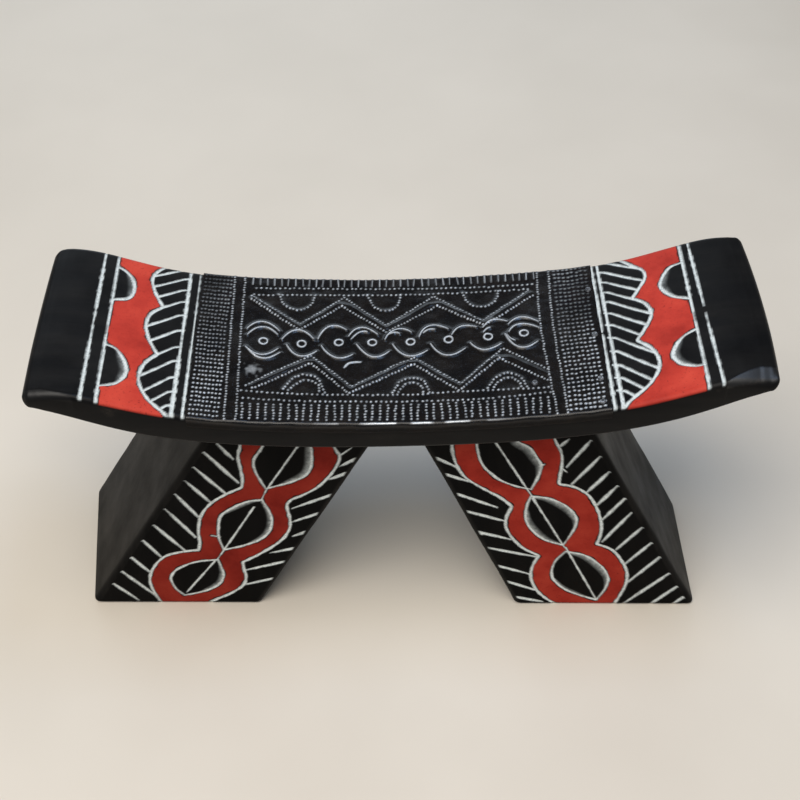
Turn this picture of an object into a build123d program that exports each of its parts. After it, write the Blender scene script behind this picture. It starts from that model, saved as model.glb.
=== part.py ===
"""Carved wood headrest: curved seat board, embossed metal sheet, its tacks, two splayed legs."""
import os
from math import cos, radians, sin

from build123d import *

# Seat board, mm
HALF_LENGTH = 180.0
HALF_DEPTH = 54.4
END_BOW = 2.5
CORNER_RADIUS = 7.0
TOP_ROUND = 3.0
UNDER_ROUND = 2.0
NOSE = [(175.0, 181.6), (HALF_LENGTH, 177.0), (175.5, 172.8)]
TOP_HALF = [(20, 157.6), (60, 159.6), (100, 164.1), (120, 168.8), (140, 175.5), (160, 181.2)]
UNDER_HALF = [(60, 142.8), (100, 147.5), (135, 156.5), (160, 167.0)]

# Embossed sheet folded over the long edges
SHEET = 0.5
SHEET_LEFT = -103.4
SHEET_RIGHT = 100.0
FOLD = 6.0

# Tacks: four down the right edge of the sheet and one in its field
TACK_HEAD = 1.6
TACK_DOME = 0.8
TACK_DIMPLE = 0.7
TACK_SHANK = 0.6
TACK_LENGTH = 7.0
TACK_SPOTS = [(97.3, 34.0), (97.2, -0.8), (96.6, -32.7), (96.0, -48.5), (65.0, -31.0)]

# Legs: the pair stands turned a little under the seat, front and back faces upright
LEG_TURN = -1.8
LEG_CUT = 149.0
LEG_EDGE_ROUND = 4.0
FOOT_BEVEL = 2.0
LEFT_FOOT = [(-175.0, -39.5), (-80.5, -39.5), (-83.5, 46.0), (-186.5, 46.0)]
LEFT_TOP = [(-87.5, -39.5), (-3.5, -39.5), (-3.5, 46.0), (-99.0, 46.0)]
RIGHT_FOOT = [(61.0, -39.5), (161.0, -39.5), (157.5, 36.5), (60.0, 36.5)]
RIGHT_TOP = [(2.6, -39.5), (89.5, -39.5), (86.5, 36.5), (2.6, 36.5)]


def mirrored(half, middle=()):
    """Full left-to-right list of points from the right half of a symmetric curve."""
    left = [(-x, z) for x, z in reversed(half)]
    return left + list(middle) + list(half)


def raised(points, height):
    """The same points moved up or down."""
    return [(x, z + height) for x, z in points]


TOP_POINTS = mirrored([*TOP_HALF, NOSE[0]])
UNDER_POINTS = mirrored([*UNDER_HALF, NOSE[2]], [(0, 141.0)])
sheet_line = Spline(*raised(TOP_POINTS, SHEET))


def sheet_plane(x, y):
    """Plane lying on the sheet at a given X and Y, normal pointing out of the seat."""
    low, high = 0.0, 1.0
    while high - low > 1e-7:
        middle = (low + high) / 2
        if (sheet_line @ middle).X < x:
            low = middle
        else:
            high = middle
    spot = sheet_line @ low
    slope = sheet_line % low
    origin = (spot.X, y, spot.Y)
    return Plane(origin=origin, x_dir=(slope.X, 0, slope.Y), z_dir=(-slope.Y, 0, slope.X))


def long_edges(block):
    """Edges running the length of the seat, lowest first."""
    return block.edges().filter_by(lambda e: e.length > HALF_LENGTH).sort_by(Axis.Z)


# Tacks: dimpled round heads on thin shanks driven into the board
with BuildPart() as panel_tacks:
    for tack_x, tack_y in TACK_SPOTS:
        seat = sheet_plane(tack_x, tack_y)
        with BuildSketch(seat):
            Circle(TACK_HEAD)
        extrude(amount=TACK_DOME, taper=25)
        with BuildSketch(seat.offset(TACK_DOME / 2)):
            Circle(TACK_DIMPLE)
        extrude(amount=TACK_DOME, mode=Mode.SUBTRACT)
        with BuildSketch(seat):
            Circle(TACK_SHANK)
        extrude(amount=-TACK_LENGTH)

# Seat board: curved plank with thin rolled ends, bored for the tacks
with BuildPart() as seat_board:
    with BuildSketch(Plane.XZ.offset(-HALF_DEPTH)):
        with BuildLine():
            Spline(*TOP_POINTS)
            ThreePointArc(*NOSE)
            Spline(*UNDER_POINTS)
            ThreePointArc(*[(-x, z) for x, z in NOSE])
        make_face()
    extrude(amount=2 * HALF_DEPTH)
    fillet(long_edges(seat_board)[2:], TOP_ROUND)
    fillet(long_edges(seat_board)[:2], UNDER_ROUND)
    with BuildSketch(Plane.XY) as plan:
        with BuildLine():
            bow_x = HALF_LENGTH - END_BOW
            Line((-bow_x, -HALF_DEPTH), (bow_x, -HALF_DEPTH))
            ThreePointArc((bow_x, -HALF_DEPTH), (HALF_LENGTH, 0), (bow_x, HALF_DEPTH))
            Line((bow_x, HALF_DEPTH), (-bow_x, HALF_DEPTH))
            ThreePointArc((-bow_x, HALF_DEPTH), (-HALF_LENGTH, 0), (-bow_x, -HALF_DEPTH))
        make_face()
        fillet(plan.vertices(), CORNER_RADIUS)
    extrude(amount=2 * HALF_LENGTH, mode=Mode.INTERSECT)
    add(panel_tacks.part, mode=Mode.SUBTRACT)

# Sheet: lies on the board between the carved borders, folded down front and back
with BuildPart() as embossed_panel:
    with BuildSketch(Plane.XZ.offset(-HALF_DEPTH - SHEET)):
        with BuildLine():
            Spline(*raised(TOP_POINTS, SHEET))
            Line(raised(TOP_POINTS, SHEET)[-1], raised(TOP_POINTS, -FOLD)[-1])
            Spline(*raised(TOP_POINTS, -FOLD))
            Line(raised(TOP_POINTS, -FOLD)[0], raised(TOP_POINTS, SHEET)[0])
        make_face()
    extrude(amount=2 * (HALF_DEPTH + SHEET))
    fillet(long_edges(embossed_panel)[2:], TOP_ROUND + SHEET)
    with BuildSketch(Plane.XY):
        with Locations(((SHEET_LEFT + SHEET_RIGHT) / 2, 0)):
            Rectangle(SHEET_RIGHT - SHEET_LEFT, HALF_LENGTH)
    extrude(amount=2 * HALF_LENGTH, mode=Mode.INTERSECT)
    add(seat_board.part, mode=Mode.SUBTRACT)
    add(panel_tacks.part, mode=Mode.SUBTRACT)

leg_floor = Plane(origin=(0, 0, 0), x_dir=(cos(radians(LEG_TURN)), sin(radians(LEG_TURN)), 0))

# Left leg: slanted block, its top carved to the underside of the seat
with BuildPart() as left_leg:
    with BuildSketch(leg_floor):
        Polygon(*LEFT_FOOT, align=None)
    with BuildSketch(leg_floor.offset(LEG_CUT)):
        Polygon(*LEFT_TOP, align=None)
    loft(ruled=True)
    fillet(left_leg.edges().filter_by(lambda e: e.length > 1.02 * LEG_CUT), LEG_EDGE_ROUND)
    chamfer(left_leg.faces().sort_by(Axis.Z)[0].edges(), FOOT_BEVEL)
    add(seat_board.part, mode=Mode.SUBTRACT)

# Right leg: the other side of the pair, carved a little wider
with BuildPart() as right_leg:
    with BuildSketch(leg_floor):
        Polygon(*RIGHT_FOOT, align=None)
    with BuildSketch(leg_floor.offset(LEG_CUT)):
        Polygon(*RIGHT_TOP, align=None)
    loft(ruled=True)
    fillet(right_leg.edges().filter_by(lambda e: e.length > 1.02 * LEG_CUT), LEG_EDGE_ROUND)
    chamfer(right_leg.faces().sort_by(Axis.Z)[0].edges(), FOOT_BEVEL)
    add(seat_board.part, mode=Mode.SUBTRACT)

seat_board.part.label = "seat_board"
embossed_panel.part.label = "embossed_panel"
panel_tacks.part.label = "panel_tacks"
left_leg.part.label = "left_leg"
right_leg.part.label = "right_leg"

os.makedirs("parts", exist_ok=True)
export_step(seat_board.part, "parts/seat_board.step")
export_step(embossed_panel.part, "parts/embossed_panel.step")
export_step(panel_tacks.part, "parts/panel_tacks.step")
export_step(left_leg.part, "parts/left_leg.step")
export_step(right_leg.part, "parts/right_leg.step")
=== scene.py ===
import math

import bpy
import bmesh
import numpy as np
from mathutils import Matrix, Vector
from mathutils.bvhtree import BVHTree


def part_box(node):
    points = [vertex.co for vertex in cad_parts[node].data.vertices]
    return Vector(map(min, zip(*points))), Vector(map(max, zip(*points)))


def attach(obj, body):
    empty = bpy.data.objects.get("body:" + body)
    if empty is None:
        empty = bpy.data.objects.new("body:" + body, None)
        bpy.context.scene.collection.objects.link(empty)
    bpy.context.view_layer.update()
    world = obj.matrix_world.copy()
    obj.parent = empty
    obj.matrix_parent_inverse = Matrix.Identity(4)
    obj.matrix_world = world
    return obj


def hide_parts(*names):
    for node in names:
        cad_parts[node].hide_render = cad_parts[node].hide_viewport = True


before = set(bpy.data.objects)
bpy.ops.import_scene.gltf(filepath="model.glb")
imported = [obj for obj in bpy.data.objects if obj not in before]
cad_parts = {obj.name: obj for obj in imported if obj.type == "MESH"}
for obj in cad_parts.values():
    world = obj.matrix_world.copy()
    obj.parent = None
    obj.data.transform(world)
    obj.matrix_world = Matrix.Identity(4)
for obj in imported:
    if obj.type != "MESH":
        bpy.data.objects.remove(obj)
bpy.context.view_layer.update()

MM = 0.001
HALF_LENGTH = 1000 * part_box("seat_board")[1][0]
HALF_DEPTH = 1000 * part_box("seat_board")[1][1]
SHEET_LEFT = 1000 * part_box("embossed_panel")[0][0]
SHEET_RIGHT = 1000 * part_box("embossed_panel")[1][0]
NOSE_REACH = 6.0  # length of the rolled end, where the stations of the board's mesh close up
PAST_EDGE = 60.0  # Y beyond both long edges, so that cuts run off the board
TOP_ROUND = 3.0
UNDER_ROUND = 2.0

LEG_TURN = math.radians(-1.8)
LEG_FRONT = -39.5
LEG_BACKS = {"left_leg": 46.0, "right_leg": 36.5}
LEG_CUT = 149.0
LEG_CORNER = 4.0
FOOT_ROUND = 2.0
LEG_SINK = 0.25  # how far a leg's top is let into the underside of the board

# Sections of the legs at the floor and at LEG_CUT, X in mm: outer front, inner front, inner back,
# outer back. The same sections as the CAD legs.
LEGS = {
    "left_leg": ((-175.0, -80.5, -83.5, -186.5), (-87.5, -3.5, -3.5, -99.0)),
    "right_leg": ((161.0, 61.0, 60.0, 157.5), (89.5, 2.6, 2.6, 86.5)),
}


# ---------------------------------------------------------------- curves and noise

def smooth(points, steps=6):
    """Rounded line through a few points."""
    p = np.array(points, float)
    p = np.vstack([2 * p[0] - p[1], p, 2 * p[-1] - p[-2]])
    out = []
    for a, b, c, d in zip(p[:-3], p[1:-2], p[2:-1], p[3:]):
        for t in np.arange(steps) / steps:
            out.append(b + 0.5 * t * (c - a + t * (2 * a - 5 * b + 4 * c - d + t * (3 * (b - c) + d - a))))
    out.append(p[-2])
    return np.array(out)


def lobes(*parts):
    """Several rounded lines joined at their cusps."""
    return np.vstack([smooth(part) for part in parts])


def even_steps(points, step):
    """The same line with a point every step mm."""
    points = np.array(points, float)
    run = np.r_[0, np.cumsum(np.hypot(*np.diff(points, axis=0).T))]
    at = np.linspace(0, run[-1], max(2, int(run[-1] / step) + 1))
    return np.stack([np.interp(at, run, points[:, 0]), np.interp(at, run, points[:, 1])], axis=-1)


def noise(x, y, size, seed):
    """Smooth random value from -1 to 1 that changes over about size mm."""
    table = np.random.default_rng(seed).uniform(-1, 1, (128, 128))
    u, v = np.asarray(x) / size + 64, np.asarray(y) / size + 64
    i, j = np.floor(u).astype(int), np.floor(v).astype(int)
    fu, fv = u - i, v - j
    fu, fv = fu * fu * (3 - 2 * fu), fv * fv * (3 - 2 * fv)
    a, b = table[i % 128, j % 128], table[(i + 1) % 128, j % 128]
    c, d = table[i % 128, (j + 1) % 128], table[(i + 1) % 128, (j + 1) % 128]
    return (a * (1 - fu) + b * fu) * (1 - fv) + (c * (1 - fu) + d * fu) * fv


class Ornament:
    """Relief and paint over the points of a surface, in mm."""

    def __init__(self, x, y):
        self.x, self.y = x.ravel(), y.ravel()
        self.height = np.zeros(self.x.size)
        self.white = np.zeros(self.x.size)
        self.red = np.zeros(self.x.size)
        self.sheen = np.zeros(self.x.size)
        self.ragged = 0.07 * noise(self.x, self.y, 1.2, 3) + 0.2 * noise(self.x, self.y, 3.1, 4)

    def near(self, points, reach):
        """Indices of the surface points around some points."""
        low, high = np.min(points, axis=0) - reach, np.max(points, axis=0) + reach
        inside_x = (self.x > low[0]) & (self.x < high[0])
        return np.nonzero(inside_x & (self.y > low[1]) & (self.y < high[1]))[0]

    def distance(self, spots, points, widths):
        """Distance from a line whose half width runs along its points, and that half width."""
        best = np.full(spots.size, 1e9)
        half = np.zeros(spots.size)
        x, y = self.x[spots], self.y[spots]
        for (ax, ay), (bx, by), wa, wb in zip(points[:-1], points[1:], widths[:-1], widths[1:]):
            dx, dy = bx - ax, by - ay
            t = np.clip(((x - ax) * dx + (y - ay) * dy) / max(dx * dx + dy * dy, 1e-9), 0, 1)
            width = wa + t * (wb - wa)
            gap = np.hypot(x - ax - t * dx, y - ay - t * dy)
            closer = gap - width < best - half
            best = np.where(closer, gap, best)
            half = np.where(closer, width, half)
        return best, half

    def cut(self, points, width, depth=0.55, within=None, ends=(0.8, 0.8), chatter=0.0):
        """V cut line filled with white. ends thins its two ends, chatter makes it swell stroke by stroke."""
        points = even_steps(points, 1.1)
        along = np.linspace(0, 1, len(points))
        widths = width / 2 * np.interp(along, (0, 0.3, 0.65, 1), (ends[0], 0.95, 1.05, ends[1]))
        widths *= 1 + chatter * np.abs(np.sin(np.arange(len(points)) * 0.62)) - 0.4 * chatter
        spots = self.near(points, width + 1.5)
        gap, half = self.distance(spots, points, widths)
        reach = gap - half + self.ragged[spots]
        mark = np.clip(0.5 - reach / 0.5, 0, 1)
        mark *= np.clip(1.15 + 0.4 * noise(self.x[spots], self.y[spots], 3.3, 5), 0, 1)
        groove = -depth * np.clip(1 - gap / (half + 0.35), 0, 1)
        covered = np.clip((0.75 - reach - 2 * self.ragged[spots]) / 0.4, 0, 1)
        if within is not None:
            mark, groove, covered = mark * within[spots], groove * within[spots], covered * within[spots]
        self.white[spots] = np.maximum(self.white[spots], mark)
        self.red[spots] *= 1 - covered
        self.height[spots] = np.minimum(self.height[spots], groove)

    def scoop(self, outline, line, reach, strength=0.7):
        """Scraped slope inside an outline, running down to one stretch of its edge."""
        inside = self.inside(outline)
        line = even_steps(smooth(line), 1.5)
        along = np.linspace(0, 1, len(line))
        reaches = reach * np.sin(math.pi * np.clip(along, 0.04, 0.96)) ** 0.6
        spots = self.near(line, reach + 1)
        spots = spots[inside[spots]]
        gap, half = self.distance(spots, line, reaches)
        near = np.clip(1 - gap / np.maximum(half, 0.3), 0, 1)
        # haze paints the slope pale, strongest beside the line and fading away from it
        haze = strength * near ** 1.2 * (0.85 + 0.35 * noise(self.x[spots], self.y[spots], 1.6, 6))
        self.white[spots] = np.maximum(self.white[spots], haze)
        self.height[spots] = np.minimum(self.height[spots], -0.3 * near ** 1.5)

    def inside(self, outline):
        """True at the surface points inside a closed outline."""
        hit = np.zeros(self.x.size, bool)
        for (ax, ay), (bx, by) in zip(outline, np.roll(outline, -1, axis=0)):
            if ay != by:
                crosses = (ay > self.y) != (by > self.y)
                hit ^= crosses & (self.x < (bx - ax) * (self.y - ay) / (by - ay) + ax)
        return hit

    def bead(self, x, y, radius=0.62, height=0.5, shine=1.0, stretch=1.0):
        """Raised dot with its top rubbed bright."""
        spots = self.near([(x, y)], 2.2 * radius * stretch)
        gap = np.hypot((self.x[spots] - x) / stretch, self.y[spots] - y) / radius
        self.height[spots] = np.maximum(self.height[spots], height * np.exp(-gap ** 2))
        bright = shine * np.clip(1.25 - gap, 0, 1)
        self.white[spots] = np.maximum(self.white[spots], bright)

    def beads(self, points, pitch, rng, **look):
        """Hand-stamped row of dots along a line."""
        for x, y in even_steps(points, pitch):
            self.bead(x + rng.normal(0, 0.14), y + rng.normal(0, 0.14), shine=rng.uniform(0.45, 1.0), **look)

    def swell(self, points, spread, height):
        """Soft rise under a stamped line, with no bright top."""
        points = np.array(points, float)
        spots = self.near(points, 2.5 * spread)
        gap, _ = self.distance(spots, points, np.zeros(len(points)))
        rise = np.exp(-(gap / spread) ** 2)
        patches = np.clip(0.4 + 0.8 * noise(self.x[spots], self.y[spots], 7, 8), 0, 1)
        patches *= 0.75 + 0.45 * noise(self.x[spots], self.y[spots], 1.4, 9)
        self.height[spots] += height * rise
        self.sheen[spots] = np.maximum(self.sheen[spots], rise * patches)

    def ridge(self, points, width=0.7, height=0.45, shine=0.8):
        """Stamped raised line, rubbed bright along its top."""
        points = np.array(points, float)
        along = np.linspace(0, 1, len(points))
        spots = self.near(points, width + 1.2)
        widths = width / 2 * np.interp(along, (0, 0.15, 0.85, 1), (0.3, 1, 1, 0.3))
        gap, half = self.distance(spots, points, widths)
        self.height[spots] = np.maximum(self.height[spots], height * np.exp(-(gap / 0.7) ** 2))
        bright = shine * np.clip(0.8 - (gap - half) / 0.38, 0, 1)
        self.white[spots] = np.maximum(self.white[spots], bright)


# ---------------------------------------------------------------- the seat's own shape

def even(xs, count):
    """Moving average that takes the facets out of a sampled line."""
    kernel = np.ones(count) / count
    padded = np.r_[np.full(count // 2, xs[0]), xs, np.full(count // 2, xs[-1])]
    return np.convolve(padded, kernel, mode="valid")


def node_tree(node):
    """Search tree over a CAD node's surface."""
    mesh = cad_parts[node].data
    return BVHTree.FromPolygons([v.co for v in mesh.vertices], [p.vertices for p in mesh.polygons])


def seat_heights():
    """Top and underside of the seat along its length, in mm, read from the CAD board."""
    tree = node_tree("seat_board")
    nose = HALF_LENGTH - NOSE_REACH
    steep = nose + NOSE_REACH * np.sin(np.linspace(0, math.pi / 2 - 0.12, 14))
    flat = np.arange(-nose, nose + 0.5, 2.0)
    xs = np.r_[-steep[::-1][:-1], flat, steep[1:]]
    # Cast just beside the middle plane, so that no ray runs along an edge of the mesh
    top = [tree.ray_cast(Vector((x * MM, 0.0007, 1)), Vector((0, 0, -1)))[0].z / MM for x in xs]
    under = [tree.ray_cast(Vector((x * MM, 0.0007, 0.1)), Vector((0, 0, 1)))[0].z / MM for x in xs]
    middle = abs(xs) < HALF_LENGTH - 8
    top = np.where(middle, even(even(top, 5), 5), top)
    under = np.where(middle, even(even(under, 5), 5), under)
    return xs, top, under


PROFILE_X, PROFILE_TOP, PROFILE_UNDER = seat_heights()


def seat_top(x):
    return np.interp(x, PROFILE_X, PROFILE_TOP)


def seat_under(x):
    return np.interp(x, PROFILE_X, PROFILE_UNDER)


def ring_section(edges, top, under, rounds, counts):
    """Closed Y and Z loop of a board: top, back edge, underside, front edge."""
    front, back = edges
    top_count, edge_count, under_count = counts
    r_top, r_under = rounds
    arc = np.linspace(0, math.pi / 2, edge_count)
    y = [np.linspace(front + r_top, back - r_top, top_count)]
    z = [np.full(top_count, top)]
    y += [back - r_top + r_top * np.sin(arc[1:]), back - r_under + r_under * np.cos(arc)]
    z += [top - r_top + r_top * np.cos(arc[1:]), under + r_under - r_under * np.sin(arc)]
    y += [np.linspace(back - r_under, front + r_under, under_count)[1:-1]]
    z += [np.full(under_count - 2, under)]
    y += [front + r_under - r_under * np.sin(arc), front + r_top - r_top * np.cos(arc[:-1])]
    z += [under + r_under - r_under * np.cos(arc), top - r_top + r_top * np.sin(arc[:-1])]
    return np.concatenate(y), np.concatenate(z)


# ---------------------------------------------------------------- mesh making

def skin(name, rings, marks):
    """Closed mesh over a stack of closed rings in mm, with its paint as point attributes."""
    stations, around, _ = rings.shape
    at = np.arange(stations * around).reshape(stations, around)
    a, b = at[:-1], np.roll(at, -1, axis=1)[:-1]
    c, d = np.roll(at, -1, axis=1)[1:], at[1:]
    faces = np.stack([a, b, c, d], axis=-1).reshape(-1, 4).tolist()
    faces += [at[0, ::-1].tolist(), at[-1].tolist()]
    mesh = bpy.data.meshes.new(name)
    mesh.from_pydata((rings.reshape(-1, 3) * MM).tolist(), [], faces)
    for key, values in marks.items():
        layer = mesh.attributes.new(key, "FLOAT", "POINT")
        layer.data.foreach_set("value", values.ravel().astype(np.float32))
    work = bmesh.new()
    work.from_mesh(mesh)
    bmesh.ops.recalc_face_normals(work, faces=work.faces)
    for face in work.faces:
        face.smooth = len(face.verts) == 4
    work.to_mesh(mesh)
    work.free()
    piece = bpy.data.objects.new(name, mesh)
    bpy.context.scene.collection.objects.link(piece)
    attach(piece, "root")
    return piece


# ---------------------------------------------------------------- ornament of the seat ends

# Carving of the two ends, left (-1) and right (1), with X counted outwards from the middle. lines and
# line_widths: the four long cuts, at the back and the front edge. gaps: half the break in each of them.
# discs: the half discs on the second line. wave: inner edge of the red band. bars: Y where each starts.
SEAT_ENDS = {
    -1: {
        "lines": ((152.4, 151.4), (145.8, 144.3), (109.4, 110.0), (104.4, 104.9)),
        "line_widths": ((1.3, 1.3), (1.2, 1.3), (1.5, 1.6), (0.6, 1.1)),
        "gaps": (0, 0, 0, 0),
        "discs": (
            ((145.4, 45.6), (140.5, 42.6), (137.0, 37.2), (135.9, 29.9), (138.0, 23.0), (144.9, 19.8)),
            ((144.6, -13.7), (138.5, -16.5), (133.1, -28.6), (136.5, -38.5), (144.3, -43.1)),
        ),
        "wave": (
            ((118.0, 58.0), (123.8, 52.0), (127.9, 43.4), (126.0, 33.0), (120.9, 22.0)),
            ((120.9, 22.0), (126.2, 15.0), (127.6, 6.0), (125.0, -4.0), (120.2, -13.3)),
            ((120.2, -13.3), (125.6, -22.0), (127.0, -33.5), (122.5, -44.0), (116.0, -50.5),
             (108.0, -57.0)),
        ),
        "bars": (55.5, 47.5, 38.6, 29.3, 18.8, 7.1, -5.1, -15.3, -27.0, -37.0, -46.5),
    },
    1: {
        "lines": ((149.6, 151.4), (145.4, 144.7), (103.6, 105.3), (100.7, 101.4)),
        "line_widths": ((1.25, 1.1), (1.4, 1.2), (1.4, 1.4), (1.3, 1.4)),
        "gaps": (2.6, 0, 0, 0.7),
        "discs": (
            ((144.6, 38.8), (137.9, 36.6), (132.5, 25.8), (137.0, 15.9), (144.4, 10.6)),
            ((144.9, -12.4), (137.4, -15.9), (131.9, -25.2), (134.3, -32.8), (140.5, -37.2),
             (145.2, -37.8)),
        ),
        "wave": (
            ((112.0, 58.0), (120.2, 47.5), (125.6, 41.0), (125.9, 34.0), (118.2, 21.6)),
            ((118.2, 21.6), (124.0, 15.0), (125.9, 7.1), (122.5, -1.0), (116.8, -9.9)),
            ((116.8, -9.9), (123.3, -19.0), (125.0, -30.8), (119.0, -41.5), (108.6, -50.5), (103.0, -57.0)),
        ),
        "bars": (55.5, 47.0, 39.0, 31.0, 23.5, 14.5, 5.5, -4.0, -14.0, -24.0, -33.0, -42.0),
    },
}


def seat_end(face, side, spec):
    """Lines, half discs, waved red band and slanted bars of one end. X runs outwards from the middle."""
    end = Ornament(face.x * side, face.y)
    wave = lobes(*spec["wave"])
    inner = spec["lines"][1][0]
    outline = np.vstack([[(inner, PAST_EDGE)], wave,
                         [(105.0, -PAST_EDGE), (spec["lines"][1][1], -PAST_EDGE)]])
    red = end.inside(outline)
    zone = ~red & (end.x < inner - 8)
    discs = [smooth(disc) for disc in spec["discs"]]
    for disc in discs:
        red &= ~end.inside(disc)
    end.red = red.astype(float)
    end.height = -0.12 * end.red
    for disc, corners in zip(discs, spec["discs"]):
        end.scoop(disc, corners[1:-1], 3.6, 0.42)
        end.cut(disc, 1.75, 0.7, ends=(0.5, 0.6))
    end.cut(wave, 1.5, 0.65, ends=(1, 1), chatter=0.2)
    bars_x = spec["lines"][2][0]
    for y in spec["bars"]:
        slope = 0.7 + 0.005 * (50 - y)
        bar = [(bars_x, y), (bars_x + 3.5, y - 1.2), (bars_x + 24, y - 1.2 - 20.5 * slope)]
        end.cut(bar, 1.3, 0.5, within=zone.astype(float))
    for (back_x, front_x), widths, gap in zip(spec["lines"], spec["line_widths"], spec["gaps"]):
        middle_x = (back_x + front_x) / 2
        end.cut([(back_x, PAST_EDGE), (middle_x, gap)], widths[0], 0.7, ends=(0.5, 0.5), chatter=0.4)
        end.cut([(middle_x, -gap), (front_x, -PAST_EDGE)], widths[1], 0.7, ends=(0.5, 1.2), chatter=0.4)
    return end


def seat_ornament(x, y):
    """Both carved ends over the points of the board. The middle stays plain, under the sheet."""
    face = Ornament(x, y)
    for side, spec in SEAT_ENDS.items():
        end = seat_end(face, side, spec)
        here = face.x * side > 90
        face.red = np.where(here, end.red, face.red)
        face.white = np.where(here, end.white, face.white)
        face.height = np.where(here, end.height, face.height)
    return face


# ---------------------------------------------------------------- seat board

def corner_cut(x, radius):
    """How far a rounded plan corner stands back from the long edge."""
    over = np.clip(abs(x) - (HALF_LENGTH - radius), 0, 0.999 * radius)
    return radius - math.sqrt(radius * radius - over * over)


def plan_edges(x):
    """Front and back edge of the board, the left end carved a little deeper at the back."""
    flare = 2.8 * np.clip((-x - 110) / 60, 0, 1) ** 2
    return corner_cut(x, 4.0) - HALF_DEPTH, HALF_DEPTH + flare - corner_cut(x, 4.0 if x > 0 else 7.0)


def build_seat():
    """Board as a stack of rings along X, with its carving, facets and bowed ends."""
    ends = HALF_LENGTH - NOSE_REACH + NOSE_REACH * np.sin(np.linspace(0, math.pi / 2 - 0.14, 12))
    ornate = np.arange(98, HALF_LENGTH - NOSE_REACH, 0.6)
    middle = np.arange(-96, 96.1, 3.0)
    xs = np.r_[-ends[::-1], -ornate[::-1], middle, ornate, ends]
    counts = (190, 7, 30)
    rings, facets = [], []
    for x in xs:
        top, under = seat_top(x), seat_under(x)
        thick = top - under
        rounds = (min(TOP_ROUND, 0.45 * thick), min(UNDER_ROUND, 0.4 * thick))
        edges = plan_edges(x)
        y, z = ring_section(edges, top, under, rounds, counts)
        # Flat facet cut along the front edge of each end, larger on the right
        slope_width, slope_drop = (9.0, 3.6) if x > 0 else (4.5, 1.3)
        grown = np.clip((abs(x) - 152) / 18, 0, 1) ** 0.7
        spare = max(0.0, min(slope_drop * grown, thick - sum(rounds) - 0.3))
        into = np.clip((slope_width * grown - (y - edges[0])) / max(slope_width * grown, 0.1), 0, 1)
        z -= spare * into * (z > top - rounds[0] - 0.1)
        rings.append(np.stack([np.full(y.size, x), y, z], axis=-1))
        facets.append(into * (z > top - rounds[0] - spare - 0.1) * np.clip(spare - 0.3, 0, 1))
    rings, facets = np.array(rings), np.array(facets)
    bow_depth = np.where(rings[..., 0] > 0, 2.3, 1.0)
    bow = bow_depth * (rings[..., 1] / HALF_DEPTH) ** 2 * np.clip((abs(rings[..., 0]) - 150) / 30, 0, 1)
    rings[..., 0] -= np.sign(rings[..., 0]) * bow
    art = seat_ornament(rings[..., 0], rings[..., 1])
    shape = rings.shape[:2]
    drop = seat_top(rings[..., 0]) - rings[..., 2]
    upper = np.clip(1.6 - drop, 0, 1)
    rings[..., 2] += art.height.reshape(shape) * upper
    rough = 0.12 * noise(rings[..., 0], rings[..., 1], 22, 11)
    rings[..., 2] += rough * upper
    facet_strength = np.where(rings[..., 0] > 0, 1.0, 0.4)
    marks = {
        "white": art.white.reshape(shape) * upper,
        "red": art.red.reshape(shape) * np.clip(2.2 - drop, 0, 1),
        "edge": np.clip(drop / 1.5, 0, 1) * np.clip(4.0 - drop, 0, 1),
        "gloss": np.clip((facets - 0.02) / 0.1, 0, 1) * np.clip(3.6 - drop, 0, 1) * facet_strength,
    }
    piece = skin("seat_board_carved", rings, marks)
    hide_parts("seat_board")
    return piece


# ---------------------------------------------------------------- embossed sheet

GRID_COLUMNS = 8  # of dots, in the field at each end of the sheet

# Ring centre, then the stamped arcs round it, each by start, middle and end points
CIRCLES = (
    ((-69.4, 3.6), ((-78, 12), (-70.5, 18.0), (-61.5, 11)), ((-77.6, 7.6), (-70.3, 14), (-62.4, 8.4)),
     ((-78, -1.5), (-69.7, -9.5), (-60.7, -5.2)), ((-76.4, -3.8), (-69, -7), (-61.8, -2.1))),
    ((-50.1, 2.4), ((-60.1, 5.0), (-52.4, 12.4), (-44.2, 5.6)), ((-57.7, 1.2), (-51, -7.2), (-42.4, -3.4))),
    ((-31.4, 3.7), ((-42, 5.6), (-36, 15.6), (-27.6, 12.8)), ((-40.2, 0.8), (-33, -8.0), (-24.2, -5.8))),
    ((-14.5, 3.6), ((-26.5, 7.8), (-20.3, 14.6), (-11.7, 9.2)), ((-25.2, 5.6), (-21, 11), (-17, 11.4)),
     ((-22.5, 2.0), (-14.5, -7.4), (-5.9, -3.5))),
    ((4.9, 3.6), ((-8.0, 5.5), (-1.6, 13.1), (5.4, 10.5)), ((-7, 7.5), (-3.5, 10.4), (-0.5, 9.6)),
     ((-4.3, 2.0), (3.2, -7.2), (13.3, -3.6))),
    ((24.1, 4.4), ((9.2, 6.7), (15.2, 15.2), (24.2, 12.0)), ((11.4, 9.4), (14.2, 12.2), (17.4, 12.2)),
     ((14.8, 1.6), (22.2, -7.4), (32.3, -3.1))),
    ((44.2, 4.9), ((25.9, 7.5), (31.0, 13.6), (38.6, 12.4)), ((41.8, 11.5), (47.4, 17.0), (54.5, 15.1)),
     ((34.9, 0.8), (41.5, -5.0), (50.4, -1.2)), ((42.0, 8.0), (43.6, 10.4), (45.6, 11.4))),
    ((62.3, 5.8), ((54.8, 12.8), (61.6, 17.6), (70.0, 13.0)), ((54.8, 7.1), (61.0, 12.6), (70.2, 8.3)),
     ((52.5, 5.4), (59.5, -4.8), (68.7, -1.7)), ((53.6, 4.8), (55.2, 2.2), (57.4, 0.4))),
)
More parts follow.
